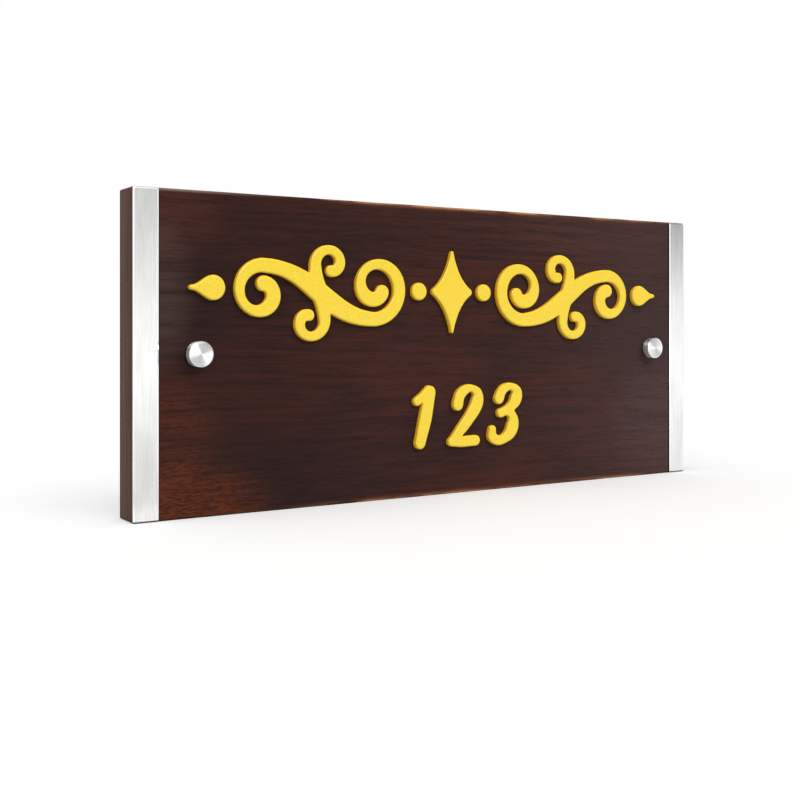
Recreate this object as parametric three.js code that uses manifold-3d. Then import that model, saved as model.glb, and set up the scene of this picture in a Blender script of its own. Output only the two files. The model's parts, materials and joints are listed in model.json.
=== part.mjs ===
// Name plate: a stained wooden board with a brushed steel strip down each end, a raised scroll
// ornament over a raised number, and a stand-off stud at each end that holds it to a wall.
// Millimetres. +Z is up, +X runs along the board and the front looks along -Y.
// The origin is the middle of the board's bottom edge, which the plate can stand on.
import * as THREE from 'three';
import { mergeVertices } from 'three/addons/utils/BufferGeometryUtils.js';
import Module from 'manifold-3d';

// Board
const boardWidth = 348;
const boardHeight = 152.4;
const boardThickness = 18;
const boardCornerRadius = 0.8;

// End strips, flush with the board's ends, on tape
const stripWidth = 12;
const stripThickness = 0.75;
const stripSetback = 0.3;
const stripCornerRadius = 1;
const tapeThickness = 0.25;
const tapeInset = 0.8;

// Studs
const leftStudInset = 31;
const rightStudInset = 28.2;
const studDiameter = 12;
const capThickness = 4.7;
const capChamfer = 0.45;
const capSocketDepth = 3;
const stemDiameter = 8;
const stemChamfer = 0.6;
const threadEngagement = 10;
const barrelLength = 19;
const barrelBase = 3;
const barrelChamfer = 0.4;
const wallScrewHole = 4.8;
const washerThickness = 0.75;
const washerRim = 0.6;
const fitClearance = 0.3;
const boardHoleClearance = 0.5;

// Raised pieces on the front
const reliefThickness = 2.5;
const ornamentSideMargin = 14.2;
const ornamentRise = 31;
const numberDrop = 51.5;
const numberShift = 10;
const digitHeight = 34;
const digitPitch = 27;
const digitWeight = 1.08;
const digitSlant = 0.2;

// Scroll ornament
const lozengeWidth = 27;
const lozengeHeight = 46;
const lozengeHollow = 0.42;
const lozengeBlunt = 1.3;
const beadRadius = 4.6;
const ornamentGap = 2.8;
const innerVoluteRadius = 16.5;
const innerVoluteTurns = 1.15;
const tipVoluteRadius = 13.2;
const tipVoluteTurns = 0.95;
const voluteEye = 4.7;
const voluteStagger = 4;
const tendrilRadius = 8.6;
const tendrilTurns = 0.74;
const tendrilEye = 3.5;
const tendrilBack = 6;
const tendrilRise = 14.5;
const tendrilRoot = 0.3;
const tendrilBulb = 5.8;
const scrollThick = 10.5;
const scrollMiddling = 7.2;
const scrollThin = 4.8;
const scrollBulb = 7.6;
const sweepFullness = 0.42;
const endLeafLength = 18;
const endLeafWidth = 12;
const leafPoint = 2.4;

// How finely round shapes are cut
const studSides = 40;
const stemSides = 32;
const boardSteps = 12;
const stripSteps = 4;
const beadSteps = 12;
const lozengeSteps = 8;
const spiralStep = THREE.MathUtils.degToRad(12);
const strokeStep = 2;
const figureStep = 1.2;
const capSteps = 7;
const leastEdge = 0.25;
const leastBend = 0.01;

// Places that follow from the sizes
const frontFace = -boardThickness / 2;
const rearFace = boardThickness / 2;
const studHeight = boardHeight / 2;
const studPlaces = {
  left: leftStudInset - boardWidth / 2,
  right: boardWidth / 2 - rightStudInset,
};
const capRadius = studDiameter / 2;
const stemRadius = stemDiameter / 2;
const capBack = frontFace - washerThickness;
const barrelFront = rearFace + washerThickness;
const numberFoot = studHeight - numberDrop;
const ornamentHeight = studHeight + ornamentRise;
const ornamentReach = boardWidth / 2 - stripWidth - ornamentSideMargin;

const stain = finish(0x3f2d2a, 0.5, 0);
const steel = finish(0xc4c5c6, 0.35, 1);
const paint = finish(0xf5d73c, 0.55, 0);
const rubber = finish(0x2a2a2b, 0.8, 0);
const tape = finish(0x50504e, 0.9, 0);

const wasm = await Module();
wasm.setup();
const plate = new THREE.Group();

function finish(color, roughness, metalness) {
  return new THREE.MeshStandardMaterial({ color, roughness, metalness });
}

function add(name, geometry, material, parent = plate) {
  const mesh = new THREE.Mesh(geometry, material);
  mesh.name = name;
  parent.add(mesh);
}

// A flat shape drawn in X and Z, thickened towards the front from the plane at y = back
function slab(shape, thickness, back, curveSegments = 1) {
  const geometry = new THREE.ExtrudeGeometry(shape, {
    depth: thickness, bevelEnabled: false, curveSegments,
  });
  geometry.rotateX(Math.PI / 2);
  geometry.translate(0, back, 0);
  return geometry;
}

// A round piece turned about the Y axis from a closed outline of [radius, y] points
function turned(points, sides) {
  const outline = points.map(([radius, y]) => new THREE.Vector2(radius, y));
  outline.push(outline[0].clone());
  return new THREE.LatheGeometry(outline, sides);
}

// A quarter round of the outline, from the given quarter turn on. A radius of 0 is a sharp corner.
function quarter(shape, x, z, radius, turn) {
  if (radius) shape.absarc(x, z, radius, turn * Math.PI / 2, (turn + 1) * Math.PI / 2);
}

// radii: bottom left, bottom right, top right, top left
function roundedRectangle(left, right, bottom, top, radii) {
  const [bottomLeft, bottomRight, topRight, topLeft] = radii;
  const shape = new THREE.Shape();
  shape.moveTo(left + bottomLeft, bottom);
  shape.lineTo(right - bottomRight, bottom);
  quarter(shape, right - bottomRight, bottom + bottomRight, bottomRight, -1);
  shape.lineTo(right, top - topRight);
  quarter(shape, right - topRight, top - topRight, topRight, 0);
  shape.lineTo(left + topLeft, top);
  quarter(shape, left + topLeft, top - topLeft, topLeft, 1);
  shape.lineTo(left, bottom + bottomLeft);
  quarter(shape, left + bottomLeft, bottom + bottomLeft, bottomLeft, 2);
  return shape;
}

function solidOf(geometry) {
  const bare = geometry.clone();
  bare.deleteAttribute('normal');
  bare.deleteAttribute('uv');
  const merged = mergeVertices(bare, 1e-4);
  return new wasm.Manifold(new wasm.Mesh({
    numProp: 3,
    vertProperties: new Float32Array(merged.attributes.position.array),
    triVerts: new Uint32Array(merged.index.array),
  }));
}

function geometryOf(solid) {
  const mesh = solid.getMesh();
  const geometry = new THREE.BufferGeometry();
  geometry.setAttribute('position', new THREE.BufferAttribute(mesh.vertProperties, 3));
  geometry.setIndex(new THREE.BufferAttribute(mesh.triVerts, 1));
  return geometry;
}

function union(geometries) {
  return geometries.map(solidOf).reduce((sum, solid) => sum.add(solid));
}

// The outline loops of a solid's front face, as closed lists of points in X and Z
function frontLoops(solid) {
  const mesh = solid.getMesh();
  const corner = (i) => mesh.vertProperties.subarray(3 * i, 3 * i + 3);
  const inFront = (i) => corner(i)[1] < frontFace - reliefThickness / 2;
  const follows = new Map();
  const edges = new Set();
  for (let i = 0; i < mesh.triVerts.length; i += 3) {
    const [a, b, c] = mesh.triVerts.subarray(i, i + 3);
    if ([a, b, c].every(inFront)) [[a, b], [b, c], [c, a]].forEach((edge) => edges.add(`${edge}`));
  }
  edges.forEach((edge) => {
    const [from, to] = edge.split(',').map(Number);
    if (!edges.has(`${[to, from]}`)) follows.set(from, to);
  });
  const loops = [];
  while (follows.size) {
    const loop = [];
    let at = follows.keys().next().value;
    while (follows.has(at)) {
      const next = follows.get(at);
      follows.delete(at);
      const [x, , z] = corner(at);
      loop.push(new THREE.Vector2(x, z));
      at = next;
    }
    loops.push(loop);
  }
  return loops;
}

// A loop without its tiny edges, and without points that lie on a straight run
function tidied(loop) {
  const spaced = [];
  loop.forEach((point) => {
    if (!spaced.length || point.distanceTo(spaced.at(-1)) > leastEdge) spaced.push(point);
  });
  while (spaced.at(-1).distanceTo(spaced[0]) <= leastEdge) spaced.pop();
  return spaced.filter((point, i) => {
    const before = spaced.at(i - 1);
    const run = spaced[(i + 1) % spaced.length].clone().sub(before);
    return Math.abs(run.cross(point.clone().sub(before))) / run.length() > leastBend;
  });
}

// One raised piece from overlapping strokes of the same thickness
function joined(strokes) {
  const size = (loop) => Math.abs(THREE.ShapeUtils.area(loop));
  const loops = frontLoops(union(strokes)).sort((one, other) => size(other) - size(one));
  const [outer, ...holes] = loops;
  const shape = new THREE.Shape(tidied(outer));
  shape.holes = holes.map((hole) => new THREE.Path(tidied(hole)));
  return slab(shape, reliefThickness, frontFace);
}

// Brush strokes: a centre line that swells and thins, with round ends.
// widths is a list of [share of the length, width], eased from one to the next.
function widthAt(widths, share) {
  const next = widths.findIndex(([place]) => place >= share);
  if (next <= 0) return widths[Math.max(next, 0)][1];
  const [from, start] = widths[next - 1];
  const [to, end] = widths[next];
  return start + (end - start) * THREE.MathUtils.smoothstep(share, from, to);
}

function lengthsAlong(line) {
  const lengths = [0];
  for (let i = 1; i < line.length; i += 1) {
    lengths.push(lengths[i - 1] + line[i].distanceTo(line[i - 1]));
  }
  return lengths;
}

function halfRound(centre, direction, radius) {
  const points = [];
  for (let i = 1; i < capSteps; i += 1) {
    const turn = direction + Math.PI / 2 - (i / capSteps) * Math.PI;
    points.push(new THREE.Vector2(Math.cos(turn), Math.sin(turn)).multiplyScalar(radius).add(centre));
  }
  return points;
}

function brushShape(line, widths) {
  const lengths = lengthsAlong(line);
  const last = line.length - 1;
  const left = [];
  const right = [];
  line.forEach((point, i) => {
    const along = line[Math.min(i + 1, last)].clone().sub(line[Math.max(i - 1, 0)]).normalize();
    const across = new THREE.Vector2(-along.y, along.x);
    const half = widthAt(widths, lengths[i] / lengths[last]) / 2;
    left.push(point.clone().addScaledVector(across, half));
    right.push(point.clone().addScaledVector(across, -half));
  });
  const startWay = line[0].clone().sub(line[1]).angle();
  const endWay = line[last].clone().sub(line[last - 1]).angle();
  return new THREE.Shape([
    ...left,
    ...halfRound(line[last], endWay, widthAt(widths, 1) / 2),
    ...right.reverse(),
    ...halfRound(line[0], startWay, widthAt(widths, 0) / 2),
  ]);
}

function stroke(line, widths) {
  return slab(brushShape(line, widths), reliefThickness, frontFace);
}

function evenPoints(curve, step = strokeStep) {
  return curve.getSpacedPoints(Math.ceil(curve.getLength() / step));
}

// Number: three slanted brush figures. They are drawn upright on a grid of 34 rows, from the left
// end of their base line, and then scaled to their height and slanted.
const gridRows = 34;
const gridUnit = digitHeight / gridRows;

function figure(strokes, left, bottom) {
  return joined(strokes.map(({ points, widths }) => {
    const placed = points.map(([x, z]) => (
      new THREE.Vector2(x + z * digitSlant, z).multiplyScalar(gridUnit).add({ x: left, y: bottom })
    ));
    const line = evenPoints(new THREE.SplineCurve(placed), figureStep);
    return stroke(line, widths.map(([share, width]) => [share, width * digitWeight * gridUnit]));
  }));
}

const figures = [
  [
    { points: [[3.4, 25.2], [6.8, 27.6], [9.8, 30.6]], widths: [[0, 4.4], [1, 5.2]] },
    { points: [[10.4, 29.8], [10.3, 16], [9.6, 3.4]], widths: [[0, 6.4], [0.5, 7.2], [1, 6]] },
  ],
  [
    {
      points: [
        [2.8, 22.6], [3.6, 28], [8.6, 31.2], [14.4, 28.6], [15, 21.6], [10, 12.6], [3, 3.4],
      ],
      widths: [[0, 6], [0.12, 5.6], [0.28, 3.8], [0.48, 7.2], [0.75, 6], [1, 4.2]],
    },
    { points: [[2.6, 2.9], [9, 2.7], [18.2, 3]], widths: [[0, 4.4], [0.5, 5.4], [1, 5.4]] },
  ],
  [
    {
      points: [[2.8, 25], [4.6, 29.6], [9.4, 31.4], [14.4, 28.4], [13.8, 22.4], [8.6, 18.2], [5.6, 17]],
      widths: [[0, 5.8], [0.15, 5], [0.32, 3.8], [0.6, 7], [0.85, 4.4], [1, 4.6]],
    },
    {
      points: [[6, 17.2], [11.6, 17.4], [15.2, 12.4], [14, 5.6], [8, 2.1], [2.6, 4.2], [1.6, 8.2]],
      widths: [[0, 4], [0.15, 4.4], [0.42, 7.2], [0.7, 4.8], [0.9, 5.4], [1, 4.4]],
    },
  ],
];

function makeNumber() {
  const start = numberShift - (figures.length * digitPitch) / 2;
  figures.forEach((strokes, i) => {
    add(`digit_${i + 1}`, figure(strokes, start + i * digitPitch, numberFoot), paint);
  });
}

// Ornament: drawn for the right half, and mirrored for the left half
function spiral({ centre, radius, eye, turns, start, way }) {
  const steps = Math.round((turns * 2 * Math.PI) / spiralStep);
  const points = [];
  for (let i = 0; i <= steps; i += 1) {
    const share = i / steps;
    const angle = start + way * share * turns * 2 * Math.PI;
    const spoke = new THREE.Vector2(Math.cos(angle), Math.sin(angle));
    points.push(spoke.multiplyScalar(THREE.MathUtils.lerp(radius, eye, share)).add(centre));
  }
  return points;
}

// A curve from one point to another that leaves and arrives in the given directions
function sweep(from, fromWay, to, toWay, fullness) {
  const reach = from.distanceTo(to) * fullness;
  return new THREE.CubicBezierCurve(
    from,
    from.clone().addScaledVector(fromWay, reach),
    to.clone().addScaledVector(toWay, -reach),
    to,
  );
}

// The S shape: out of the inner volute at its foot, up the spine, and into the tip volute at its top
function scrollSpine() {
  const innerReach = lozengeWidth / 2 + ornamentGap + 2 * beadRadius + ornamentGap;
  const inner = new THREE.Vector2(
    innerReach + innerVoluteRadius + scrollThin / 2,
    ornamentHeight + voluteStagger / 2,
  );
  const tip = new THREE.Vector2(
    ornamentReach - endLeafLength - ornamentGap - tipVoluteRadius - scrollThin / 2,
    ornamentHeight - voluteStagger / 2,
  );
  const level = new THREE.Vector2(1, 0);
  const curl = { eye: voluteEye, way: -1 };
  const start = spiral({
    ...curl, centre: inner, radius: innerVoluteRadius, turns: innerVoluteTurns, start: -Math.PI / 2,
  });
  const end = spiral({
    ...curl, centre: tip, radius: tipVoluteRadius, turns: tipVoluteTurns, start: Math.PI / 2,
  });
  const spine = sweep(start[0], level, end[0], level, sweepFullness);
  return { line: [...start.reverse(), ...evenPoints(spine).slice(1, -1), ...end], spine };
}

// A tendril leaves the spine and curls back over it
function tendril(spine) {
  const centre = spine.getPoint(0.5).add(new THREE.Vector2(-tendrilBack, tendrilRise));
  const curl = spiral({
    centre, radius: tendrilRadius, eye: tendrilEye, turns: tendrilTurns, start: 0, way: 1,
  });
  const root = spine.getPoint(tendrilRoot);
  const up = new THREE.Vector2(0, 1);
  const rise = sweep(root, spine.getTangent(tendrilRoot), curl[0], up, sweepFullness);
  return [...evenPoints(rise).slice(0, -1), ...curl];
}

const scrollWidths = [
  [0, scrollBulb], [0.05, scrollBulb], [0.13, scrollThin], [0.26, scrollMiddling],
  [0.36, scrollMiddling], [0.54, scrollThick], [0.7, scrollMiddling], [0.86, scrollThin],
  [0.95, scrollBulb], [1, scrollBulb],
];
const tendrilWidths = [
  [0, scrollThin], [0.3, scrollMiddling], [0.7, scrollThin], [0.9, tendrilBulb], [1, tendrilBulb],
];
const leafWidths = [[0, endLeafWidth], [1, leafPoint]];

function makeScrolls() {
  const { line, spine } = scrollSpine();
  const upper = tendril(spine);
  const lower = upper.map((point) => spine.getPoint(0.5).multiplyScalar(2).sub(point));
  const strokes = [[line, scrollWidths], [upper, tendrilWidths], [lower, tendrilWidths]];
  bothSides((side, way) => {
    const placed = strokes.map(([points, widths]) => stroke(onSide(way, points), widths));
    add(`ornament_${side}_scroll`, joined(placed), paint);
  });
}

function onSide(way, line) {
  return line.map((point) => new THREE.Vector2(way * point.x, point.y));
}

function makeEndLeaves() {
  const from = new THREE.Vector2(ornamentReach - endLeafLength + endLeafWidth / 2, ornamentHeight);
  const to = new THREE.Vector2(ornamentReach - leafPoint / 2, ornamentHeight);
  const line = evenPoints(new THREE.LineCurve(from, to));
  bothSides((side, way) => {
    add(`ornament_${side}_leaf`, joined([stroke(onSide(way, line), leafWidths)]), paint);
  });
}

function makeBeads() {
  const bead = new THREE.Shape().absarc(0, 0, beadRadius, 0, 2 * Math.PI);
  const fromMiddle = lozengeWidth / 2 + ornamentGap + beadRadius;
  bothSides((side, way) => {
    const geometry = slab(bead, reliefThickness, frontFace, beadSteps);
    geometry.translate(way * fromMiddle, 0, ornamentHeight);
    add(`ornament_${side}_bead`, geometry, paint);
  });
}

// A lozenge with hollowed sides and blunt points
function makeLozenge() {
  const corners = [
    [lozengeWidth / 2, 0], [0, lozengeHeight / 2], [-lozengeWidth / 2, 0], [0, -lozengeHeight / 2],
  ].map(([x, z]) => new THREE.Vector2(x, z + ornamentHeight));
  const middle = new THREE.Vector2(0, ornamentHeight);
  const shape = new THREE.Shape();
  corners.forEach((corner, i) => {
    const next = corners[(i + 1) % corners.length];
    const [from, to] = [blunted(corner, next), blunted(next, corner)];
    const hollow = from.clone().add(to).divideScalar(2).lerp(middle, lozengeHollow);
    if (i) shape.lineTo(from.x, from.y);
    else shape.moveTo(from.x, from.y);
    shape.quadraticCurveTo(hollow.x, hollow.y, to.x, to.y);
  });
  add('ornament_lozenge', slab(shape, reliefThickness, frontFace, lozengeSteps), paint);
}

function blunted(corner, next) {
  return corner.clone().lerp(next, lozengeBlunt / corner.distanceTo(next));
}

function bothSides(make) {
  make('left', -1);
  make('right', 1);
}

// Board, strips and tape. The board is one solid, joined from a plain middle stretch and two ends
// that hold the stud holes, which leaves the middle of its back one clear flat.
function makeBoard() {
  const end = boardWidth / 2;
  const middle = end - Math.max(leftStudInset, rightStudInset) - studDiameter;
  const round = boardCornerRadius;
  const stretches = [
    { from: -end, to: -middle, corners: [round, 0, 0, round], stud: studPlaces.left },
    { from: -middle, to: middle, corners: [0, 0, 0, 0] },
    { from: middle, to: end, corners: [0, round, round, 0], stud: studPlaces.right },
  ];
  const blocks = stretches.map(({ from, to, corners, stud }) => {
    const shape = roundedRectangle(from, to, 0, boardHeight, corners);
    if (stud) shape.holes = [studHole(stud)];
    return slab(shape, boardThickness, rearFace, boardSteps);
  });
  add('board', geometryOf(union(blocks)), stain);
}

function studHole(x) {
  return new THREE.Path().absarc(x, studHeight, stemRadius + boardHoleClearance, 0, 2 * Math.PI);
}

function makeStrips() {
  const bottom = stripSetback;
  const top = boardHeight - stripSetback;
  const inner = boardWidth / 2 - stripWidth;
  const ends = {
    left: { from: -boardWidth / 2, to: -inner, corners: [stripCornerRadius, 0, 0, stripCornerRadius] },
    right: { from: inner, to: boardWidth / 2, corners: [0, stripCornerRadius, stripCornerRadius, 0] },
  };
  Object.entries(ends).forEach(([side, { from, to, corners }]) => {
    const strip = roundedRectangle(from, to, bottom, top, corners);
    add(`${side}_end_strip`, slab(strip, stripThickness, frontFace - tapeThickness, stripSteps), steel);
    const under = roundedRectangle(
      from + tapeInset, to - tapeInset, bottom + tapeInset, top - tapeInset, [0, 0, 0, 0],
    );
    add(`${side}_strip_tape`, slab(under, tapeThickness, frontFace), tape);
  });
}

// Studs, each turned about the Y axis at the middle of its board hole
function ring(inner, outer, front, back) {
  return [[inner, front], [outer, front], [outer, back], [inner, back]];
}

function capOutline() {
  const front = capBack - capThickness;
  const socket = capBack - capSocketDepth;
  const bore = stemRadius + fitClearance;
  return [
    [0, front], [capRadius - capChamfer, front], [capRadius, front + capChamfer],
    [capRadius, capBack], [bore, capBack], [bore, socket], [0, socket],
  ];
}

function stemOutline() {
  const front = capBack - capSocketDepth + fitClearance;
  const back = barrelFront + threadEngagement;
  const tip = stemRadius - stemChamfer;
  return [
    [0, front], [tip, front], [stemRadius, front + stemChamfer],
    [stemRadius, back - stemChamfer], [tip, back], [0, back],
  ];
}

function barrelOutline() {
  const back = barrelFront + barrelLength;
  const bore = stemRadius + fitClearance;
  const floor = back - barrelBase;
  const screw = wallScrewHole / 2;
  const mouth = bore + barrelChamfer;
  return [
    [mouth, barrelFront], [capRadius - barrelChamfer, barrelFront],
    [capRadius, barrelFront + barrelChamfer], [capRadius, back - barrelChamfer],
    [capRadius - barrelChamfer, back], [screw, back], [screw, floor], [bore, floor],
    [bore, barrelFront + barrelChamfer],
  ];
}

function makeStud(side, x) {
  const stud = new THREE.Group();
  stud.position.set(x, 0, studHeight);
  plate.add(stud);
  const bore = stemRadius + fitClearance;
  const rim = capRadius - washerRim;
  const frontWasher = ring(bore, rim, capBack, frontFace);
  const rearWasher = ring(bore, rim, rearFace, barrelFront);
  add(`${side}_cap`, turned(capOutline(), studSides), steel, stud);
  add(`${side}_stem`, turned(stemOutline(), stemSides), steel, stud);
  add(`${side}_front_washer`, turned(frontWasher, studSides), rubber, stud);
  add(`${side}_rear_washer`, turned(rearWasher, studSides), rubber, stud);
  add(`${side}_barrel`, turned(barrelOutline(), studSides), steel, stud);
}

makeBoard();
makeStrips();
makeLozenge();
makeBeads();
makeScrolls();
makeEndLeaves();
makeNumber();
Object.entries(studPlaces).forEach(([side, x]) => makeStud(side, x));

export default plate;
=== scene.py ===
"""Name plate: a dark stained board with steel end strips, raised yellow ornament and number, and studs.

Everything is in metres in the part's own frame: +X along the board, the front looks along -Y, +Z up.
Each piece takes its place and size from the solid that it stands for.
"""
import json
import math

import bmesh
import bpy
import numpy as np
from mathutils import Matrix, Vector, noise
from mathutils.geometry import tessellate_polygon

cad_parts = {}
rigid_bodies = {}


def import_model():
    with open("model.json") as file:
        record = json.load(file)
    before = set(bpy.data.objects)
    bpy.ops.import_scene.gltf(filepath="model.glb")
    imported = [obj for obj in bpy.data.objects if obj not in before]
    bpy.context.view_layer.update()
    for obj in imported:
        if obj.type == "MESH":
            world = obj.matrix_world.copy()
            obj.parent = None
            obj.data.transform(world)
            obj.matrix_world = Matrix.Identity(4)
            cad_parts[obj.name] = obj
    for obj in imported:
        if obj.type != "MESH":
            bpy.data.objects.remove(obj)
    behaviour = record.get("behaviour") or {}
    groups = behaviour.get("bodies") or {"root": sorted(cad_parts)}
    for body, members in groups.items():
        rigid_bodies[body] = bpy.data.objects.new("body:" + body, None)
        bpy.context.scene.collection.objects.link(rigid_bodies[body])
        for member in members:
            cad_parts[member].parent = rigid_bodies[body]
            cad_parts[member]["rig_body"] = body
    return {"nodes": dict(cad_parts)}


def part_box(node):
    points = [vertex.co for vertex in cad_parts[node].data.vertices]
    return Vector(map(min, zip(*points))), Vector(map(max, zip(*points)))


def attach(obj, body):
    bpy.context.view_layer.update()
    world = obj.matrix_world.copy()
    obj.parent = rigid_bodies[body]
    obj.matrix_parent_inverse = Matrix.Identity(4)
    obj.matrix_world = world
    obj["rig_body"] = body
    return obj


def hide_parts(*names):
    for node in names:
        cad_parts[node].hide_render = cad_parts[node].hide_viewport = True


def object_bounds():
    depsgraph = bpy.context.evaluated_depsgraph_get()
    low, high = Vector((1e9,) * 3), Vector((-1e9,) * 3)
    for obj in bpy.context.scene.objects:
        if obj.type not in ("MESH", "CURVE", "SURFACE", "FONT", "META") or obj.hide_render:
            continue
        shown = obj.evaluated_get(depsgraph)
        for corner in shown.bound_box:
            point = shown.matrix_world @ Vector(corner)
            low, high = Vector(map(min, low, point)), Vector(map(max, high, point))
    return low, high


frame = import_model()
cad_low, cad_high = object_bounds()

MM = 0.001

# Camera: level, with its frame shifted down so that upright edges stay upright
IMAGE_SIDE = 800
FOCAL_PIXELS = 1126.6
HORIZON_PIXEL = 326.5
SENSOR_WIDTH = 36
CAMERA_PLACE = Vector((-343.1, -501.9, 89.0)) * MM
CAMERA_YAW = math.radians(32.293)

# Light
AMBIENT = 0.54
FLOOR_TONE = 0.85
FLOOR_GLOW = 0.32
FLOOR_SIDE = 60

# Soft suns: side is degrees to the right of straight in front. The first would shade the floor too far
SUNS = (
    {"level": 1.85, "spread": 30, "height": 38, "side": 33, "on_floor": False},
    {"level": 0.55, "spread": 30, "height": 60, "side": 6, "on_floor": True},
    {"level": 0.9, "spread": 80, "height": 30, "side": -75, "on_floor": True},
)

# Cards that only reflections show: they give the steel its darker and brighter parts
CARDS = (
    {"place": (0.525, -0.683, 0.53), "width": 1.1, "height": 0.75, "tone": 0.08},
    {"place": (0.29, -1.0, 0.03), "width": 1.46, "height": 0.14, "tone": 2.0},
    {"place": (-0.2, -1.05, 0.62), "width": 0.6, "height": 0.5, "tone": 2.0},
    {"place": (-0.36, -0.2, 0.52), "width": 0.3, "height": 0.26, "tone": 6.5},
    {"place": (1.2, 0.3, 0.1), "width": 0.5, "height": 0.7, "tone": 0.6},
    {"place": (-0.2, -0.26, 0.004), "width": 0.2, "height": 0.2, "tone": 0.15, "flat": True},
    {"place": (-0.17, -0.09, 0.004), "width": 0.16, "height": 0.12, "tone": 0.75, "flat": True},
    {"place": (0.25, -0.26, 0.004), "width": 0.16, "height": 0.18, "tone": 0.45, "flat": True},
)

# Warmer or paler patches of uneven staining; the last, paler and greyer at the lower right, is painted
# sheen: centre and radii in X and Z, tone, strength and streakiness
STAIN_AND_SHEEN_PATCHES = (
    ((-0.166, 0.140), (0.042, 0.030), (0.074, 0.0240, 0.0180), 0.6, 0.3),
    ((-0.172, 0.104), (0.032, 0.046), (0.080, 0.0520, 0.0450), 0.5, 0.1),
    ((-0.168, 0.040), (0.044, 0.033), (0.092, 0.0235, 0.0100), 0.7, 0.7),
    ((-0.149, 0.001), (0.052, 0.031), (0.124, 0.0280, 0.0070), 0.85, 0.8),
    ((-0.014, 0.064), (0.052, 0.026), (0.070, 0.0210, 0.0160), 0.6, 0.3),
    ((0.080, 0.143), (0.110, 0.014), (0.088, 0.0400, 0.0350), 0.22, 0.4),
    # Painted sheen: paler and greyer at the lower right.
    ((0.165, 0.035), (0.060, 0.045), (0.094, 0.0560, 0.0540), 0.5, 0.2),
)

# Raised pieces
OUTLINE_STEP = 0.35 * MM
CORNER_TURN = math.radians(35)
CORNER_PASSES = 6
CORNER_SPREAD = 0.8
CORNER_EASE = 0.7
TANGENT_LIMIT = 3 * MM
SHOULDER = 0.95 * MM
SHOULDER_RINGS = 6
FLAT_MARGIN = 0.12 * MM
WIDTH_SHARE = 0.42
REACH_PASSES = 60
REACH_SHRINK = 0.88
REACH_STEP = OUTLINE_STEP / 3
MITRE_LIMIT = 0.5
FRONT_NORMAL = -0.9
FOLD_LIMIT = 0.15

# Board
OUTLINE_CORNER = 0.8 * MM
END_ARRIS = 0.5 * MM
END_STEPS = 6
ARRIS = 0.55 * MM
ARRIS_WEAR = 0.3 * MM
WEAR_PER_METRE = 70
ARRIS_STEPS = 4
FACE_MARGIN = 0.8 * MM
STATION_STEP = 2.5 * MM
ROW_STEP = 12 * MM
ROWS_ACROSS = 4
HOLE_RADIUS = 4.5 * MM

# Strips and studs
STRIP_BEVEL = 0.6 * MM
STRIP_BEVEL_DEPTH = 0.33 * MM
TAPE_BEVEL = 0.08 * MM
STUD_SIDES = 96
EASE_STEPS = 4
EASE_SHARE = 0.45
STUD_RADIUS = 6 * MM
RIM_WIDTH = 0.62 * MM
RIM_DEPTH = 0.46 * MM
CAP_SOCKET_RADIUS = 4.3 * MM
CAP_SOCKET_DEPTH = 3 * MM
GROOVE_RADIUS = 5.02 * MM
GROOVE_WIDTH = 0.22 * MM
GROOVE_DEPTH = 0.12 * MM
CENTRE_MARK = 0.3 * MM
BARREL_BORE_RADIUS = 4.3 * MM
BARREL_BASE = 3 * MM
SCREW_HOLE_RADIUS = 2.4 * MM
SMALL_ROUND = 0.15 * MM
MERGE = 1e-7

# Threads
THREAD_PITCH = 1.25 * MM
THREAD_DEPTH = 0.62 * MM
THREAD_FLANK = 1.3
THREAD_ROOT = 0.13
THREAD_STEPS = 10
THREAD_SIDES = 48
THREAD_CHAMFER = 0.8 * MM


class Look:
    """A material built from nodes. An input is a number, a colour or another node's output."""

    def __init__(self, name):
        self.material = bpy.data.materials.new(name)
        self.material.use_nodes = True
        self.tree = self.material.node_tree
        self.tree.nodes.clear()
        self.shader = self.node("BsdfPrincipled")
        self.node("OutputMaterial", {"Surface": self.shader.outputs[0]})

    def node(self, kind, inputs=None, **settings):
        made = self.tree.nodes.new("ShaderNode" + kind)
        for key, value in settings.items():
            setattr(made, key, value)
        for key, value in (inputs or {}).items():
            self.put(made.inputs[key], value)
        return made

    def put(self, socket, value):
        if isinstance(value, bpy.types.NodeSocket):
            self.tree.links.new(value, socket)
        elif socket.type == "RGBA":
            socket.default_value = (*value, 1)
        else:
            socket.default_value = value

    def set(self, values):
        for key, value in values.items():
            self.put(self.shader.inputs[key], value)

    def place(self):
        return self.node("TexCoord").outputs["Object"]

    def axes(self, vector):
        return self.node("SeparateXYZ", {0: vector}).outputs

    def scaled(self, vector, x, y, z):
        return self.node("Mapping", {"Vector": vector, "Scale": (x, y, z)}).outputs[0]

    def noise(self, vector, detail=3.0, roughness=0.5):
        inputs = {"Vector": vector, "Scale": 1.0, "Detail": detail, "Roughness": roughness}
        return self.node("TexNoise", inputs).outputs[0]

    def maths(self, operation, *values):
        return self.node("Math", dict(enumerate(values)), operation=operation).outputs[0]

    def times(self, *values):
        product = values[0]
        for value in values[1:]:
            product = self.maths("MULTIPLY", product, value)
        return product

    def between(self, value, low, high, to_low=0.0, to_high=1.0):
        """Eases a value from low to high into to_low to to_high."""
        inputs = {"Value": value, "From Min": low, "From Max": high, "To Min": to_low, "To Max": to_high}
        return self.node("MapRange", inputs, interpolation_type="SMOOTHSTEP").outputs[0]

    def mix(self, share, first, second):
        """Mixes two colours. Inputs 6 and 7 and output 2 are the node's colour sockets."""
        made = self.node("Mix", data_type="RGBA")
        for number, value in ((0, share), (6, first), (7, second)):
            self.put(made.inputs[number], value)
        return made.outputs[2]

    def bump(self, height, strength, distance):
        inputs = {"Height": height, "Strength": strength, "Distance": distance}
        return self.node("Bump", inputs).outputs[0]


# Looks

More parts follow.
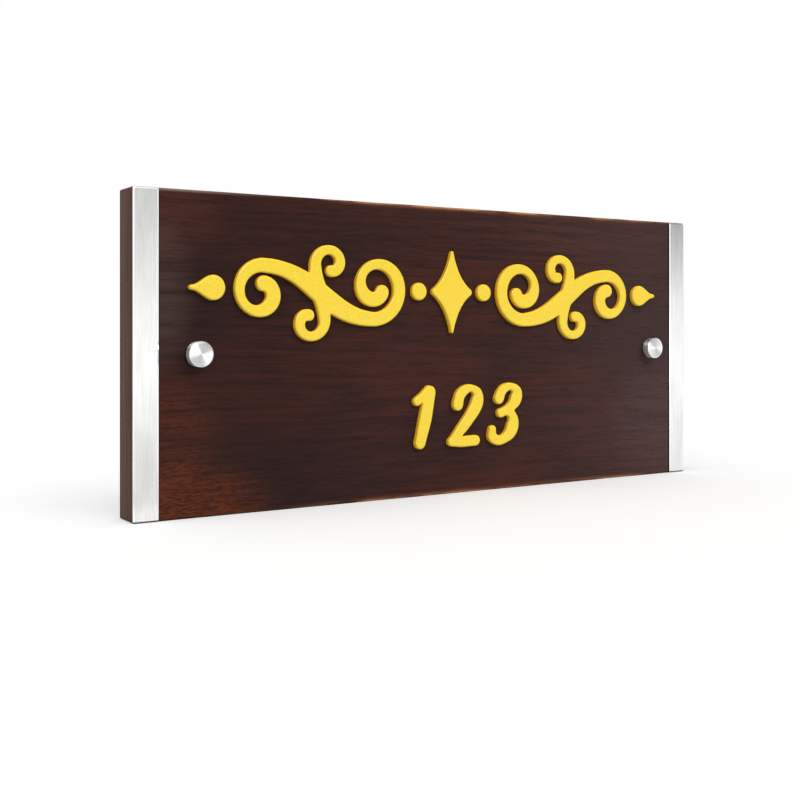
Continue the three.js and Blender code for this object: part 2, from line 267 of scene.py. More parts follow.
def wood_look():
    """Dark stained wood: fine fibres along X, reddish and dark bands, patches and rubbed arrises, with
    painted sheen towards the right end, painted shade next to the strips and along the bottom edge, and a
    painted highlight at the top left corner.
    """
    look = Look("stained_wood")
    right_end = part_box("board")[1].x
    strip_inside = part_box("right_end_strip")[0].x
    place = look.place()
    x = look.axes(place)[0]

    sway = look.between(look.noise(look.scaled(place, 5, 12, 12), detail=2), 0.3, 0.7, -0.0015, 0.0015)
    offset = look.node("CombineXYZ", {"Z": sway}).outputs[0]
    grain = look.node("VectorMath", {0: place, 1: offset}, operation="ADD").outputs[0]
    fibres = look.noise(look.scaled(grain, 75, 2100, 2100), detail=3, roughness=0.5)
    bands = look.noise(look.scaled(grain, 16, 330, 330), detail=4, roughness=0.6)
    patches = look.noise(look.scaled(place, 9, 25, 20), detail=2)
    dashes = look.noise(look.scaled(grain, 300, 1700, 1700), detail=3)
    pores = look.noise(look.scaled(grain, 110, 2600, 2600), detail=2)

    threads = look.maths("ADD", look.times(fibres, 0.6), look.times(bands, 0.4))
    tone = look.mix(look.between(threads, 0.3, 0.7), (0.020, 0.0096, 0.0092), (0.042, 0.0172, 0.0152))
    red = look.times(look.between(bands, 0.3, 0.68), look.between(patches, 0.38, 0.6))
    tone = look.mix(red, tone, (0.058, 0.0180, 0.0125))
    # Painted sheen: the front paler and greyer towards the right end.
    tone = look.mix(look.between(x, 0.0, right_end, 0, 0.5), tone, (0.062, 0.038, 0.037))
    dim = look.between(x, -0.02, -0.12, 0, 0.34)
    tone = look.mix(dim, tone, (0.008, 0.004, 0.004))
    uneven = look.between(bands, 0.3, 0.62, 0.4, 1)
    for centre, radii, patch_tone, strength, streaks in STAIN_AND_SHEEN_PATCHES:
        streaky = look.between(dashes, 0.34, 0.64, 1 - streaks, 1)
        share = look.times(near(look, place, centre, radii), uneven, streaky, strength)
        tone = look.mix(share, tone, patch_tone)
    tone = look.mix(look.between(pores, 0.58, 0.72, 0, 0.6), tone, (0.009, 0.005, 0.005))
    # Painted shade: a dark band on the front, next to each strip.
    shade_beside_strips = look.between(look.maths("ABSOLUTE", x), strip_inside - 1.0 * MM, strip_inside, 0, 0.75)
    normal = look.node("TexCoord").outputs["Normal"]
    on_front = look.between(look.axes(normal)[1], -0.7, -0.95)
    tone = look.mix(look.times(shade_beside_strips, on_front), tone, (0.008, 0.005, 0.005))
    on_end = look.between(look.maths("ABSOLUTE", look.axes(normal)[0]), 0.5, 0.9)
    tone = look.mix(on_end, tone, end_grain(look, place))
    tone = edge_wear_shade_and_highlight(look, place, tone)

    relief = look.maths("SUBTRACT", fibres, look.times(pores, 0.6))
    look.set({
        "Base Color": tone, "Roughness": look.between(fibres, 0.2, 0.8, 0.38, 0.55),
        "Specular IOR Level": 0.06, "Normal": look.bump(relief, 0.3, 0.00012),
    })
    return look


def near(look, place, centre, radii):
    """How near a point of the front is to a centre in X and Z: 1 there, 0 on the ellipse round it."""
    shares = []
    for axis, middle, radius in zip((0, 2), centre, radii):
        offset = look.maths("DIVIDE", look.maths("SUBTRACT", look.axes(place)[axis], middle), radius)
        shares.append(look.times(offset, offset))
    return look.between(look.maths("ADD", *shares), 1.0, 0.05)


def end_grain(look, place):
    """The board's ends: paler, with upright streaks and fine open pores, a painted highlight along the
    front edge, and painted shade that darkens them towards the back.
    """
    streaks = look.noise(look.scaled(place, 1, 900, 22), detail=4, roughness=0.6)
    pores = look.noise(look.scaled(place, 2400, 2400, 900), detail=2)
    tone = look.mix(look.between(streaks, 0.34, 0.66), (0.037, 0.0137, 0.0086), (0.108, 0.0360, 0.0195))
    low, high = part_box("board")
    y = look.axes(place)[1]
    # Painted highlight: a paler, redder line along the front edge.
    front = look.times(look.between(y, low.y + 1.0 * MM, low.y), look.between(streaks, 0.3, 0.6, 0.3, 1))
    tone = look.mix(front, tone, (0.21, 0.076, 0.034))
    # Painted shade: darker towards the back edge.
    rear = look.between(y, high.y - 4.0 * MM, high.y - 1.2 * MM, 0, 0.85)
    tone = look.mix(rear, tone, (0.018, 0.008, 0.006))
    return look.mix(look.between(pores, 0.55, 0.75, 0, 0.5), tone, (0.022, 0.010, 0.008))


def edge_wear_shade_and_highlight(look, place, tone):
    """Stain rubbed off the long edges, least of all near their ends; painted shade along the bottom edge,
    most of all towards its ends, and a painted highlight along the top edge at the left end.
    """
    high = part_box("board")[1]
    x, y, z = look.axes(place)
    middle = high.z / 2
    from_middle = look.maths("ABSOLUTE", look.maths("SUBTRACT", z, middle))
    near_face = look.between(look.maths("ABSOLUTE", y), high.y - 1.1 * MM, high.y - 0.2 * MM)
    along = look.maths("ABSOLUTE", look.maths("SUBTRACT", x, 0.035))
    stretch = look.between(along, 0.14, 0.06, 0.1, 1)
    ragged = look.noise(look.scaled(place, 45, 500, 500), detail=4)

    # Painted shade: the bottom edge darker, most of all towards its ends.
    foot_shade = look.times(look.between(z, 1.3 * MM, 0.6 * MM), look.between(stretch, 0.7, 0.2), 0.6)
    tone = look.mix(foot_shade, tone, (0.014, 0.008, 0.006))
    band = look.between(from_middle, middle - 2.8 * MM, middle - 0.7 * MM)
    band = look.times(band, near_face, stretch, look.between(ragged, 0.35, 0.6, 0.2, 0.85))
    tone = look.mix(band, tone, (0.17, 0.064, 0.032))
    # Painted highlight: a pale pinkish line along the top edge at the left end.
    near_top = look.between(z, high.z - 1.6 * MM, high.z - 0.5 * MM)
    corner = look.times(look.between(x, -0.1, -0.155), near_top, near_face, 0.9)
    tone = look.mix(corner, tone, (0.20, 0.135, 0.12))
    worn = look.between(from_middle, middle - 1.3 * MM, middle - 0.5 * MM)
    worn = look.times(worn, near_face, stretch, look.between(ragged, 0.4, 0.6))
    return look.mix(worn, tone, (0.38, 0.19, 0.085))


def paint_look():
    """Satin yellow with a fine speckle, and the sides painted a deeper orange as shade."""
    look = Look("yellow_paint")
    place = look.place()
    speckle = look.noise(look.scaled(place, 1500, 1500, 1500), detail=4, roughness=0.7)
    clouds = look.noise(look.scaled(place, 60, 60, 60), detail=2)
    tone = look.mix(look.between(speckle, 0.35, 0.65), (0.77, 0.545, 0.016), (0.87, 0.635, 0.036))
    tone = look.mix(look.between(clouds, 0.3, 0.7, 0, 0.35), tone, (0.82, 0.58, 0.022))
    # Painted shade: sides that turn away from the front get a deeper orange.
    facing = look.maths("ABSOLUTE", look.axes(look.node("TexCoord").outputs["Normal"])[1])
    tone = look.mix(look.between(facing, 0.7, 0.2, 0, 0.85), tone, (0.88, 0.48, 0.012))
    look.set({
        "Base Color": tone, "Roughness": look.between(speckle, 0.3, 0.7, 0.26, 0.38),
        "Specular IOR Level": 0.5, "Normal": look.bump(speckle, 0.08, 0.00006),
    })
    return look


def brushed_look():
    """Stainless steel brushed along Z, with bevels painted white as a highlight and painted shade along
    the bottom.
    """
    look = Look("brushed_steel")
    place = look.place()
    lines = look.noise(look.scaled(place, 2800, 2800, 60), detail=4, roughness=0.65)
    streaks = look.noise(look.scaled(place, 1500, 1500, 45), detail=4, roughness=0.6)
    clouds = look.noise(look.scaled(place, 160, 160, 40), detail=3)
    tone = look.mix(look.between(streaks, 0.3, 0.7), (0.80, 0.80, 0.79), (0.94, 0.94, 0.935))
    tone = look.mix(look.between(clouds, 0.42, 0.66, 0, 0.5), tone, (0.76, 0.76, 0.755))
    # Painted highlight: bevels and sides pure white.
    bevel = off_face(look)
    tone = look.mix(bevel, tone, (1, 1, 1))
    # Painted shade: dark along the bottom edge, where the strip meets the ground.
    foot_shade = look.between(look.axes(place)[2], 1.1 * MM, 0.7 * MM, 0, 0.96)
    tone = look.mix(foot_shade, tone, (0.03, 0.03, 0.03))
    roughness = look.times(look.between(lines, 0.3, 0.7, 0.28, 0.4), look.between(bevel, 0, 1, 1, 0.5))
    look.set({
        "Base Color": tone, "Metallic": 1.0, "Roughness": roughness,
        "Anisotropic": 0.6, "Anisotropic Rotation": 0.25,
        "Tangent": look.node("Tangent", direction_type="RADIAL", axis="X").outputs[0],
        "Normal": look.bump(lines, 0.1, 0.00005),
    })
    return look


def off_face(look):
    """1 on bevels and sides, 0 on the flat front and back."""
    normal = look.node("TexCoord").outputs["Normal"]
    return look.between(look.maths("ABSOLUTE", look.axes(normal)[1]), 0.985, 0.93)


def about_axis(look):
    """A point's distance from the piece's own Y axis, and its place along that axis."""
    x, y, z = look.axes(look.place())
    squares = look.maths("ADD", look.times(x, x), look.times(z, z))
    return look.maths("SQRT", squares), y


def spun_look():
    """Steel turned on a lathe, with fine rings and a polished rim that is painted white as a highlight."""
    look = Look("spun_steel")
    radius, y = about_axis(look)
    ring_place = look.node("CombineXYZ", {"X": radius, "Y": y}).outputs[0]
    rings = look.noise(look.scaled(ring_place, 9000, 9000, 1), detail=2)
    tone = look.mix(look.between(rings, 0.3, 0.7), (0.84, 0.84, 0.835), (0.95, 0.95, 0.945))
    # Painted highlight: the rim pure white.
    rim = look.times(off_face(look), look.between(y, RIM_DEPTH + 0.1 * MM, RIM_DEPTH))
    tone = look.mix(rim, tone, (1, 1, 1))
    wall = look.times(off_face(look), look.between(y, RIM_DEPTH, RIM_DEPTH + 0.1 * MM))
    polish = look.times(look.between(rim, 0, 1, 1, 0.85), look.between(wall, 0, 1, 1, 0.84))
    roughness = look.times(look.between(rings, 0.3, 0.7, 0.34, 0.44), polish)
    look.set({
        "Base Color": tone, "Metallic": 1.0, "Roughness": roughness,
        "Anisotropic": 0.95, "Anisotropic Rotation": 0.25,
        "Tangent": look.node("Tangent", direction_type="RADIAL", axis="Y").outputs[0],
        "Normal": look.bump(rings, 0.08, 0.00003),
    })
    return look


def thread_look():
    """Plain cut steel, darker in the grooves."""
    look = Look("thread_steel")
    radius = about_axis(look)[0]
    crest = look.between(radius, 3.4 * MM, 4.0 * MM)
    marks = look.noise(look.scaled(look.place(), 900, 900, 900), detail=4)
    tone = look.mix(crest, (0.28, 0.275, 0.27), (0.56, 0.555, 0.545))
    tone = look.mix(look.between(marks, 0.4, 0.7, 0, 0.3), tone, (0.3, 0.29, 0.28))
    look.set({
        "Base Color": tone, "Metallic": 1.0, "Roughness": look.between(marks, 0.3, 0.7, 0.3, 0.5),
        "Normal": look.bump(marks, 0.15, 0.00005),
    })
    return look


def soft_look(name, dark, pale, roughness, grain):
    """Rubber or foam with a fine pitted surface."""
    look = Look(name)
    pits = look.noise(look.scaled(look.place(), grain, grain, grain), detail=4, roughness=0.6)
    look.set({
        "Base Color": look.mix(look.between(pits, 0.3, 0.7), dark, pale),
        "Roughness": look.between(pits, 0.3, 0.7, roughness - 0.08, roughness + 0.08),
        "Normal": look.bump(pits, 0.3, 0.00008),
    })
    return look


# Meshes

def mesh_from(name, points, faces):
    mesh = bpy.data.meshes.new(name)
    mesh.from_pydata(points, [], faces)
    shape = bmesh.new()
    shape.from_mesh(mesh)
    bmesh.ops.remove_doubles(shape, verts=shape.verts, dist=MERGE)
    bmesh.ops.recalc_face_normals(shape, faces=shape.faces)
    shape.to_mesh(mesh)
    shape.free()
    return mesh


def show(mesh, node, look, smooth_degrees=35, centre=None):
    """Puts a mesh in the scene in the place of a solid. centre is where its own origin goes."""
    made = bpy.data.objects.new(mesh.name, mesh)
    made.location = centre or (0, 0, 0)
    bpy.context.scene.collection.objects.link(made)
    mesh.shade_smooth()
    mesh.set_sharp_from_angle(angle=math.radians(smooth_degrees))
    mesh.materials.clear()
    mesh.materials.append(look.material)
    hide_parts(node)
    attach(made, frame["nodes"][node]["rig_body"])
    return made


def quads(row, after):
    """The quads between two closed rows of point numbers."""
    return [(row[i - 1], row[i], after[i], after[i - 1]) for i in range(len(row))]


def fill(points, loops):
    """Triangles over flat loops of point numbers."""
    numbers = [number for loop in loops for number in loop]
    corners = [[Vector(points[number]) for number in loop] for loop in loops]
    return [tuple(numbers[i] for i in face) for face in tessellate_polygon(corners)]


# Flat raised pieces

def front_loops(node):
    """The closed outlines of a solid's front face, as arrays of (x, z)."""
    solid = bmesh.new()
    solid.from_mesh(frame["nodes"][node].data)
    bmesh.ops.remove_doubles(solid, verts=solid.verts, dist=10 * MERGE)
    front = {face for face in solid.faces if face.normal.y < FRONT_NORMAL}
    follows = {}
    for face in front:
        for loop in face.loops:
            if len(front.intersection(loop.edge.link_faces)) == 1:
                follows[loop.vert] = loop.link_loop_next.vert
    loops = []
    while follows:
        start, after = follows.popitem()
        loop = [start]
        while after is not start:
            loop.append(after)
            after = follows.pop(after)
        loops.append(np.array([(vert.co.x, vert.co.z) for vert in loop]))
    solid.free()
    return loops


def unit(vectors):
    return vectors / np.maximum(np.linalg.norm(vectors, axis=1, keepdims=True), 1e-12)


def edges_of(points):
    return np.roll(points, -1, axis=0) - points


def smoothed(points):
    """A smooth closed line through an outline's points, with its corners only just rounded."""
    after = edges_of(points)
    before = np.roll(after, 1, axis=0)
    turn = np.arccos(np.clip((unit(before) * unit(after)).sum(axis=1), -1, 1))
    sharp = turn > CORNER_TURN
    way = unit(before + after)
    reach = np.minimum(np.linalg.norm(after, axis=1), TANGENT_LIMIT)[:, None]
    leaving = reach * np.where(sharp[:, None], unit(after), way)
    arriving = reach * np.roll(np.where(sharp[:, None], unit(before), way), -1, axis=0)
    line = []
    corner = []
    for i, length in enumerate(np.linalg.norm(after, axis=1)):
        end = points[(i + 1) % len(points)]
        steps = max(1, round(length / OUTLINE_STEP))
        for t in np.arange(steps) / steps:
            line.append(
                points[i] * (1 + 2 * t) * (1 - t) ** 2 + leaving[i] * t * (1 - t) ** 2
                + end * t * t * (3 - 2 * t) - arriving[i] * t * t * (1 - t)
            )
            corner.append(float(sharp[i] and t == 0))
    return with_soft_corners(np.array(line), np.array(corner))


def with_soft_corners(line, weight):
    """Eases the points near each corner towards their neighbours."""
    for _ in range(CORNER_PASSES):
        weight = np.maximum(weight, CORNER_SPREAD * np.maximum(np.roll(weight, 1), np.roll(weight, -1)))
    for _ in range(CORNER_PASSES):
        middle = (np.roll(line, 1, axis=0) + np.roll(line, -1, axis=0)) / 2
        line = line + CORNER_EASE * weight[:, None] * (middle - line)
    return line


def inwards(line):
    """For each point of an outline, the move that shifts both its edges inwards by one unit."""
    after = unit(edges_of(line))
    before = np.roll(after, 1, axis=0)
    way = np.stack([-(before + after)[:, 1], (before + after)[:, 0]], axis=1)
    return way / np.maximum(1 + (before * after).sum(axis=1), MITRE_LIMIT)[:, None]


def widths(line, way, outlines):
    """How wide the piece is from each point of an outline straight inwards."""
    starts = np.concatenate(outlines)
    runs = np.concatenate([edges_of(outline) for outline in outlines])
    found = []
    for point, direction in zip(line, unit(way)):
        cross = direction[0] * runs[:, 1] - direction[1] * runs[:, 0]
        cross = np.where(np.abs(cross) < 1e-12, 1e-12, cross)
        gap = starts - point
        along = (gap[:, 0] * runs[:, 1] - gap[:, 1] * runs[:, 0]) / cross
        share = (gap[:, 0] * direction[1] - gap[:, 1] * direction[0]) / cross
        hits = along[(along > OUTLINE_STEP / 10) & (share >= 0) & (share <= 1)]
        found.append(hits.min() if len(hits) else 1.0)
    return np.array(found)


def reach_inwards(line, way, outlines, depth):
    """How far each point of an outline can move inwards, up to depth, with no fold."""
    reach = np.minimum(depth, WIDTH_SHARE * widths(line, way, outlines))
    edge = edges_of(line)
    for _ in range(REACH_PASSES):
        moved = edges_of(line + way * reach[:, None])
        folded = (edge * moved).sum(axis=1) < FOLD_LIMIT * (edge * edge).sum(axis=1)
        reach = np.where(folded | np.roll(folded, 1), REACH_SHRINK * reach, reach)
        nearest = np.minimum(np.roll(reach, 1), np.roll(reach, -1))
        reach = np.minimum(reach, nearest + REACH_STEP)
    return reach


def raised(node, loops, shoulder, depth, rings):
    """A flat piece with a wall, rings round its shoulder and a flat top. One ring is a chamfer."""
    low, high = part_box(node)
    levels = [(0.0, high.y)]
    for i in range(rings + 1):
        turn = math.pi / 2 * i / rings
        levels.append((1 - math.cos(turn), low.y + depth * (1 - math.sin(turn))))
    levels.append((1 + FLAT_MARGIN / shoulder, low.y))
    points = []
    faces = []
    ends = []
    for line in loops:
        way = inwards(line)
        reach = reach_inwards(line, way, loops, shoulder)
        rows = []
        for share, y in levels:
            start = len(points)
            moved = line + way * (reach * share)[:, None]
            points.extend((x, y, z) for x, z in moved.tolist())
            rows.append(list(range(start, start + len(line))))
        for row, after in zip(rows, rows[1:]):
            faces.extend(quads(row, after))
        ends.append((rows[0], rows[-1]))
    for loops_at_end in zip(*ends):
        faces.extend(fill(points, loops_at_end))
    return mesh_from("shown_" + node, points, faces)


def make_raised_pieces():
    look = paint_look()
    for node in sorted(frame["nodes"]):
        if node.startswith(("ornament_", "digit_")):
            loops = [smoothed(points) for points in front_loops(node)]
            show(raised(node, loops, SHOULDER, SHOULDER, SHOULDER_RINGS), node, look)


def make_strips():
    steel = brushed_look()
    foam = soft_look("foam_tape", (0.012, 0.012, 0.012), (0.03, 0.03, 0.03), 0.85, 2500)
    for side in ("left", "right"):
        for node, slot, look, bevel, depth in (
            (side + "_end_strip", "brushed_steel", steel, STRIP_BEVEL, STRIP_BEVEL_DEPTH),
            (side + "_strip_tape", "foam_tape", foam, TAPE_BEVEL, TAPE_BEVEL),
        ):
            loops = [smoothed(points) for points in front_loops(node)]
            show(raised(node, loops, bevel, depth, rings=1), node, look, smooth_degrees=20)


# Board

def rounding(distance, radius):
    """How far a rounded edge stands back at a distance from its end."""
    short = max(radius - distance, 0)
    return radius - math.sqrt(radius**2 - short**2)


def worn_arris(x, edge):
    """The radius of one of the four long edges at x: rubbed a little unevenly."""
    return ARRIS + ARRIS_WEAR * noise.noise(Vector((x * WEAR_PER_METRE, edge * 9.1, 0.5)))


def board_section(x, low, high):
    """The board's closed outline in Y and Z at x: front, top, back and bottom."""
    from_end = min(x - low.x, high.x - x)
    half = high.y - rounding(from_end, END_ARRIS)
    inset = rounding(from_end, OUTLINE_CORNER)
    bottom = low.z + inset
    top = high.z - inset
    margin = ARRIS + ARRIS_WEAR + FACE_MARGIN
    row_count = round((high.z - low.z) / ROW_STEP)
    rows = np.linspace(bottom + margin, top - margin, row_count).tolist()
    across = np.linspace(-half + margin, half - margin, ROWS_ACROSS).tolist()
    section = [(-half, z) for z in rows]
    section += arris(-half, top, 1, -1, worn_arris(x, 1))
    section += [(y, top) for y in across]
    section += arris(half, top, -1, -1, worn_arris(x, 2))[::-1]
    section += [(half, z) for z in reversed(rows)]
    section += arris(half, bottom, -1, 1, worn_arris(x, 3))
    section += [(y, bottom) for y in reversed(across)]
    section += arris(-half, bottom, 1, 1, worn_arris(x, 4))[::-1]
    return section


def arris(y, z, y_way, z_way, radius):
    """A quarter round in the corner at (y, z), from the upright face to the level one."""
    arc = []
    for i in range(ARRIS_STEPS + 1):
        turn = math.pi / 2 * i / ARRIS_STEPS
        arc.append((
            y + y_way * radius * (1 - math.cos(turn)),
            z + z_way * radius * (1 - math.sin(turn)),
        ))
    return arc


def stations(low, high):
    """The places along X of the board's sections, close together where its ends are rounded."""
    end = [OUTLINE_CORNER * (1 - math.cos(math.pi / 2 * i / END_STEPS)) for i in range(END_STEPS + 1)]
    middle = np.arange(low + end[-1] + STATION_STEP, high - end[-1] - STATION_STEP / 2, STATION_STEP)
    return [low + step for step in end] + middle.tolist() + [high - step for step in reversed(end)]


def make_board():
    low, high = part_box("board")
    points = []
    rows = []
    for x in stations(low.x, high.x):
        section = board_section(x, low, high)
        rows.append(list(range(len(points), len(points) + len(section))))
        points.extend((x, y, z) for y, z in section)
    faces = [quad for row, after in zip(rows, rows[1:]) for quad in quads(row, after)]
    faces += fill(points, [rows[0]]) + fill(points, [rows[-1]])
    mesh = mesh_from("shown_board", points, faces)
    for side in ("left", "right"):
        mesh = drilled(mesh, middle_of(side + "_stem"))
    show(mesh, "board", wood_look(), smooth_degrees=40)


def drilled(mesh, centre):
    """The mesh with a hole along Y through it."""
    low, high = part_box("board")
    drill_mesh = turned("stud_drill", [
        (0, 2 * low.y), (HOLE_RADIUS, 2 * low.y), (HOLE_RADIUS, 2 * high.y), (0, 2 * high.y),
    ])
    drill = bpy.data.objects.new("stud_drill", drill_mesh)
    drill.location = (centre.x, 0, centre.z)
    plank = bpy.data.objects.new("plank", mesh)
    for piece in (drill, plank):
        bpy.context.scene.collection.objects.link(piece)
    cut = plank.modifiers.new("hole", "BOOLEAN")
    cut.object = drill
    cut.solver = "EXACT"
    evaluated = plank.evaluated_get(bpy.context.evaluated_depsgraph_get())
    cut_mesh = bpy.data.meshes.new_from_object(evaluated)
    cut_mesh.name = mesh.name
    bpy.data.objects.remove(drill)
    bpy.data.objects.remove(plank)
    return cut_mesh


# Turned pieces

def middle_of(node):
    low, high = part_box(node)
    return (low + high) / 2


def turned(name, profile, sides=STUD_SIDES):
    """Turns a profile of (radius, y) about the Y axis. A profile that stays off the axis is a ring."""
    points = []
    rows = []
    for radius, y in profile:
        rows.append(list(range(len(points), len(points) + sides)))
        for i in range(sides):
            turn = 2 * math.pi * i / sides
            points.append((radius * math.cos(turn), y, radius * math.sin(turn)))
    faces = []
    for i, row in enumerate(rows):
        if i or profile[0][0]:
            faces.extend(quads(rows[i - 1], row))
    return mesh_from(name, points, faces)


def eased(corners):
    """Rounds the corners of a closed profile. Each is (radius, y, size of the rounding)."""
    line = []
    for i, (radius, y, size) in enumerate(corners):
        here = Vector((radius, y))
        if not size:
            line.append((radius, y))
            continue
        before = Vector(corners[i - 1][:2]) - here
        after = Vector(corners[(i + 1) % len(corners)][:2]) - here
        start = here + before.normalized() * min(size, EASE_SHARE * before.length)
        end = here + after.normalized() * min(size, EASE_SHARE * after.length)
        for step in range(EASE_STEPS + 1):
            t = step / EASE_STEPS
            point = start.lerp(here, t).lerp(here.lerp(end, t), t)
            line.append((point.x, point.y))
    return line


def show_turned(node, look, corners):
    """Shows a turned piece. The y of each corner is measured from the piece's front."""
    low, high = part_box(node)
    centre = Vector((middle_of(node).x, low.y, middle_of(node).z))
    show(turned("shown_" + node, eased(corners)), node, look, smooth_degrees=30, centre=centre)


def cap_corners(node):
    """Half a cap's section: centre mark, spun face, groove, rim, side, and the socket in its back."""
    low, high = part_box(node)
    depth = high.y - low.y
    tiny = SMALL_ROUND / 3
    return [
        (0, CENTRE_MARK / 3, 0),
        (CENTRE_MARK, 0, tiny),
        (GROOVE_RADIUS - GROOVE_WIDTH, 0, tiny),
        (GROOVE_RADIUS, GROOVE_DEPTH, tiny),
        (GROOVE_RADIUS + GROOVE_WIDTH, 0, tiny),
        (STUD_RADIUS - RIM_WIDTH, 0, tiny),
        (STUD_RADIUS, RIM_DEPTH, tiny),
        (STUD_RADIUS, depth, SMALL_ROUND),
        (CAP_SOCKET_RADIUS, depth, SMALL_ROUND),
        (CAP_SOCKET_RADIUS, depth - CAP_SOCKET_DEPTH, SMALL_ROUND),
        (0, depth - CAP_SOCKET_DEPTH, 0),
    ]


def barrel_corners(node):
    """Half a barrel's section: an open bore at the front and a screw hole through its base."""
    low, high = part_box(node)
    depth = high.y - low.y
    floor = depth - BARREL_BASE
    return [
        (BARREL_BORE_RADIUS, 0, 2 * SMALL_ROUND),
        (STUD_RADIUS, 0, 2 * SMALL_ROUND),
        (STUD_RADIUS, depth, 2 * SMALL_ROUND),
        (SCREW_HOLE_RADIUS, depth, SMALL_ROUND),
        (SCREW_HOLE_RADIUS, floor, SMALL_ROUND),
        (BARREL_BORE_RADIUS, floor, SMALL_ROUND),
    ]


def washer_corners(node):
    """Half a washer's section: a soft flat ring."""
    low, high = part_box(node)
    depth = high.y - low.y
    outer = (high.x - low.x) / 2
    inner = CAP_SOCKET_RADIUS
    corners = ((inner, 0), (outer, 0), (outer, depth), (inner, depth))
    return [(radius, y, EASE_SHARE * depth) for radius, y in corners]


def stem_mesh(node):
    """A threaded stem: one winding groove, run out at both ends."""
    low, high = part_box(node)
    length = high.y - low.y
    crest = (high.x - low.x) / 2
    count = round(length / THREAD_PITCH * THREAD_STEPS)
    points = []
    rows = []
    for i in range(count + 1):
        y = length * i / count
        from_end = min(y, length - y)
        limit = crest - max(THREAD_CHAMFER - from_end, 0)
        row = list(range(len(points), len(points) + THREAD_SIDES))
        rows.append(row)
        for side in range(THREAD_SIDES):
            share = side / THREAD_SIDES
            phase = (y / THREAD_PITCH - share) % 1
            rise = min(max(abs(2 * phase - 1) * THREAD_FLANK - THREAD_ROOT, 0), 1)
            radius = min(crest - THREAD_DEPTH * (1 - rise), limit)
            turn = 2 * math.pi * share
            points.append((radius * math.cos(turn), y, radius * math.sin(turn)))
    faces = [quad for row, after in zip(rows, rows[1:]) for quad in quads(row, after)]
    faces += fill(points, [rows[0]]) + fill(points, [rows[-1]])
    return mesh_from("shown_" + node, points, faces)


def make_studs():
    spun = spun_look()
    cut = thread_look()
    rubber = soft_look("washer_rubber", (0.008, 0.008, 0.008), (0.02, 0.02, 0.02), 0.6, 3000)
    for side in ("left_", "right_"):
        show_turned(side + "cap", spun, cap_corners(side + "cap"))
        show_turned(side + "barrel", spun, barrel_corners(side + "barrel"))
        for washer in ("front_washer", "rear_washer"):
            show_turned(side + washer, rubber, washer_corners(side + washer))
        stem = side + "stem"
        low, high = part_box(stem)
        centre = Vector((middle_of(stem).x, low.y, middle_of(stem).z))
        show(stem_mesh(stem), stem, cut, smooth_degrees=50, centre=centre)


# Stage, light and camera

def seen(look):
    """1 where the camera sees a surface directly, in a reflection or through glass."""
    rays = look.node("LightPath").outputs
    glossy = look.maths("MAXIMUM", rays["Is Glossy Ray"], rays["Is Transmission Ray"])
    return look.maths("MAXIMUM", rays["Is Camera Ray"], glossy)


def make_floor():
    side = FLOOR_SIDE / 2
    mesh = mesh_from("floor", [(-side, -side, 0), (side, -side, 0), (side, side, 0), (-side, side, 0)],
                     [(0, 1, 2, 3)])
    floor = bpy.data.objects.new("floor", mesh)
    bpy.context.scene.collection.objects.link(floor)
    look = Look("floor")
    look.set({
        "Base Color": (FLOOR_TONE, FLOOR_TONE, FLOOR_TONE), "Roughness": 0.9, "Specular IOR Level": 0.0,
        "Emission Color": (1, 1, 1), "Emission Strength": look.times(seen(look), FLOOR_GLOW),
    })
    mesh.materials.append(look.material)
    return floor


def make_world():
    world = bpy.data.worlds.new("studio")
    world.use_nodes = True
    bpy.context.scene.world = world
    tree = world.node_tree
    tree.nodes.clear()
    rays = tree.nodes.new("ShaderNodeLightPath").outputs
    strength = rays["Is Camera Ray"]
    for other in (rays["Is Glossy Ray"], rays["Is Transmission Ray"]):
        strength = joined(tree, strength, other)
    level = tree.nodes.new("ShaderNodeMath")
    level.operation = "MAXIMUM"
    level.inputs[1].default_value = AMBIENT
    tree.links.new(strength, level.inputs[0])
    background = tree.nodes.new("ShaderNodeBackground")
    background.inputs["Color"].default_value = (1, 1, 1, 1)
    tree.links.new(level.outputs[0], background.inputs["Strength"])
    output = tree.nodes.new("ShaderNodeOutputWorld")
    tree.links.new(background.outputs[0], output.inputs["Surface"])


def joined(tree, first, second):
    made = tree.nodes.new("ShaderNodeMath")
    made.operation = "MAXIMUM"
    tree.links.new(first, made.inputs[0])
    tree.links.new(second, made.inputs[1])
    return made.outputs[0]


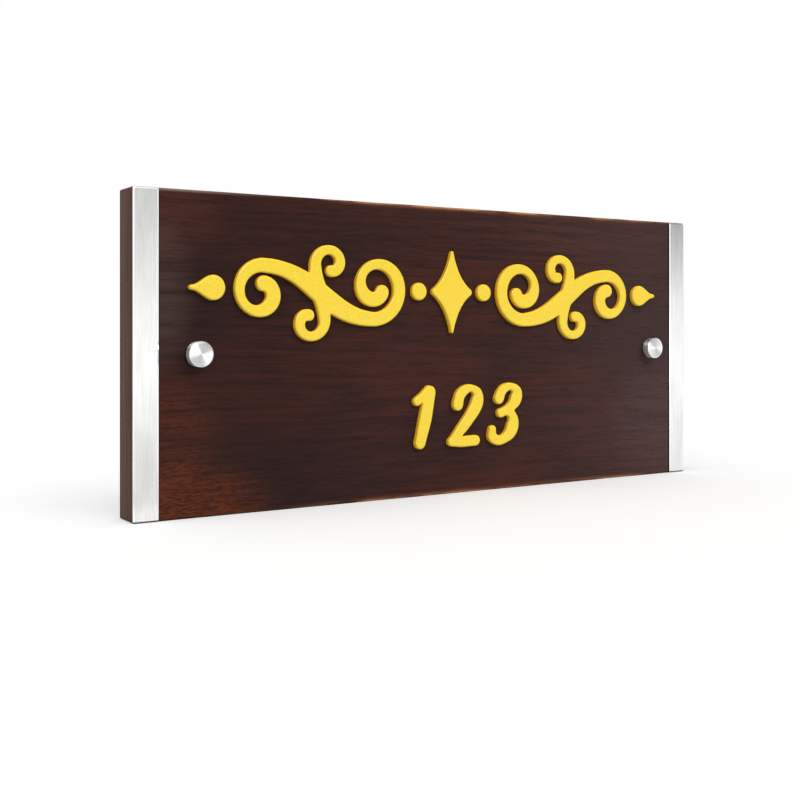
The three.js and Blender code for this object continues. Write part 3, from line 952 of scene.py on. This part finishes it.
def make_sun(level, spread, height, side, on_floor):
    """A broad soft light from in front, with its angles in degrees. Reflections show the cards instead."""
    sun = bpy.data.lights.new("sun", "SUN")
    sun.energy = level
    sun.angle = math.radians(spread)
    made = bpy.data.objects.new("sun", sun)
    made.rotation_euler = (math.radians(90 - height), 0, math.radians(side))
    made.visible_glossy = False
    bpy.context.scene.collection.objects.link(made)
    if not on_floor:
        unlit = bpy.data.collections.new("unlit")
        unlit.objects.link(floor)
        unlit.collection_objects[0].light_linking.link_state = "EXCLUDE"
        made.light_linking.receiver_collection = unlit


def make_card(place, width, height, tone, flat=False):
    """A plain card that only reflections show. It lies flat or faces the middle of the object."""
    side, half = width / 2, height / 2
    corners = [(-side, -half, 0), (side, -half, 0), (side, half, 0), (-side, half, 0)]
    mesh = mesh_from("card", corners, [(0, 1, 2, 3)])
    card = bpy.data.objects.new("card", mesh)
    card.location = place
    if not flat:
        aim = (cad_low + cad_high) / 2 - card.location
        card.rotation_euler = aim.to_track_quat("-Z", "Y").to_euler()
    bpy.context.scene.collection.objects.link(card)
    for rays in ("camera", "diffuse", "transmission", "shadow"):
        setattr(card, "visible_" + rays, False)
    look = Look("card")
    look.set({
        "Base Color": (0, 0, 0), "Specular IOR Level": 0.0,
        "Emission Color": (tone, tone, tone), "Emission Strength": 1.0,
    })
    mesh.materials.append(look.material)


def make_camera():
    camera = bpy.data.cameras.new("camera")
    camera.sensor_fit = "HORIZONTAL"
    camera.sensor_width = SENSOR_WIDTH
    camera.lens = SENSOR_WIDTH * FOCAL_PIXELS / IMAGE_SIDE
    camera.shift_y = (HORIZON_PIXEL - IMAGE_SIDE / 2) / IMAGE_SIDE
    camera.clip_start = 0.01
    made = bpy.data.objects.new("camera", camera)
    made.location = CAMERA_PLACE
    made.rotation_euler = (math.pi / 2, 0, -CAMERA_YAW)
    bpy.context.scene.collection.objects.link(made)
    bpy.context.scene.camera = made


make_camera()
make_world()
floor = make_floor()
for sun in SUNS:
    make_sun(**sun)
for card in CARDS:
    make_card(**card)
make_board()
make_strips()
make_raised_pieces()
make_studs()
bpy.context.scene.view_settings.view_transform = "Standard"
